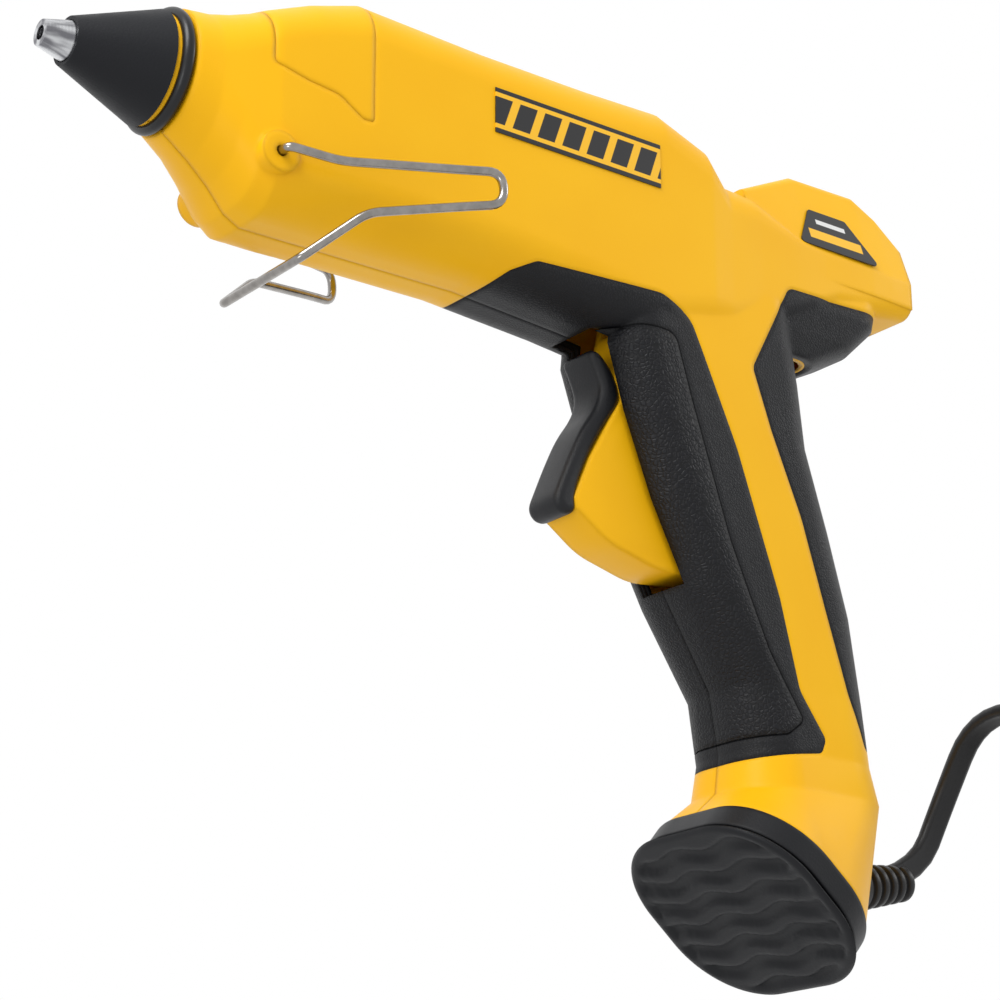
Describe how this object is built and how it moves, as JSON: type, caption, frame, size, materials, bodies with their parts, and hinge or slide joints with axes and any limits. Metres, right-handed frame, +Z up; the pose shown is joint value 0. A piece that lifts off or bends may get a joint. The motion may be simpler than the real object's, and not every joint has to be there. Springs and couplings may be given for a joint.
{
  "type": "hot glue gun",
  "caption": "Corded trigger glue gun with metal nozzle, ribbed foot, soft grips and fold-down wire stand, resting on its foot and nozzle",
  "frame": {"origin": "on the table, under the middle of the gun's box (cord, coil and plug left out)", "axes": "+X from the nozzle back towards the handle, +Y to the gun's right, +Z up"},
  "size_m": [0.4343, 0.0965, 0.1694],
  "materials": {
    "housing_yellow": "satin",
    "grip_black": "grained",
    "panel_black": "leather grained",
    "trigger_black": "fine grain",
    "nozzle_metal": "turned",
    "sleeve_rubber": "matte",
    "stand_wire": "drawn wire",
    "screw_steel": "zinc plated",
    "cast_metal": "cast",
    "ceramic": "fired",
    "support_plastic": "moulded",
    "silicone": "soft",
    "guide_black": "moulded",
    "carriage_plastic": "moulded",
    "foot_black": "moulded",
    "foot_rubber": "ribbed",
    "terminal_plastic": "moulded",
    "lead_white": "sleeved",
    "cord_black": "moulded",
    "blade_brass": "plated",
    "mark_ink": "printed",
    "badge_ink": "printed label"
  },
  "bodies": {
    "gun": {"housing_left": "housing_yellow", "housing_right": "housing_yellow", "top_saddle": "housing_yellow", "front_grip_left": "grip_black", "front_grip_right": "grip_black", "rear_grip_left": "grip_black", "rear_grip_right": "grip_black", "grip_panel_left": "panel_black", "grip_panel_right": "panel_black", "nozzle": "nozzle_metal", "nose_sleeve": "sleeve_rubber", "collar_ring": "sleeve_rubber", "housing_screws": "screw_steel", "trigger_pin": "screw_steel", "trigger_spring": "screw_steel", "melt_chamber": "cast_metal", "ceramic_heater": "ceramic", "heater_clip": "screw_steel", "front_chamber_support": "support_plastic", "rear_chamber_support": "support_plastic", "stick_inlet_seal": "silicone", "seal_clamp": "screw_steel", "stick_guide": "guide_black", "foot_base": "foot_black", "foot_sole": "foot_rubber", "terminal_block": "terminal_plastic", "heater_lead_left": "lead_white", "heater_lead_right": "lead_white", "strain_relief": "cord_black", "cord": "cord_black", "cord_coil": "cord_black", "plug_body": "cord_black", "plug_blades": "blade_brass", "side_mark_left": "mark_ink", "side_mark_right": "mark_ink", "rear_badge_left": "badge_ink", "rear_badge_right": "badge_ink"},
    "trigger": {"trigger_lever": "housing_yellow", "trigger_pad": "trigger_black"},
    "carriage": {"feed_carriage": "carriage_plastic", "grip_teeth": "screw_steel"},
    "stand": {"wire_stand": "stand_wire"}
  },
  "joints": [
    {"name": "trigger_pull", "type": "hinge", "parent": "gun", "child": "trigger", "pos_m": [0.00357, 0, 0.07445], "axis": [0, -1, 0], "range_deg": [0, 15], "stiffness_Nm_per_rad": 0.6, "springref_deg": -20.05},
    {"name": "carriage_feed", "type": "slide", "parent": "gun", "child": "carriage", "axis": [-0.7604, 0, -0.6494], "range_m": [0, 0.0078]},
    {"name": "stand_swing", "type": "hinge", "parent": "gun", "child": "stand", "pos_m": [-0.09256, 0, 0.01918], "axis": [0, 1, 0], "range_deg": [-20, 62]}
  ],
  "couplings": [
    {"joint": "carriage_feed", "follows": "trigger_pull", "m_per_rad": 0.02926}
  ]
}
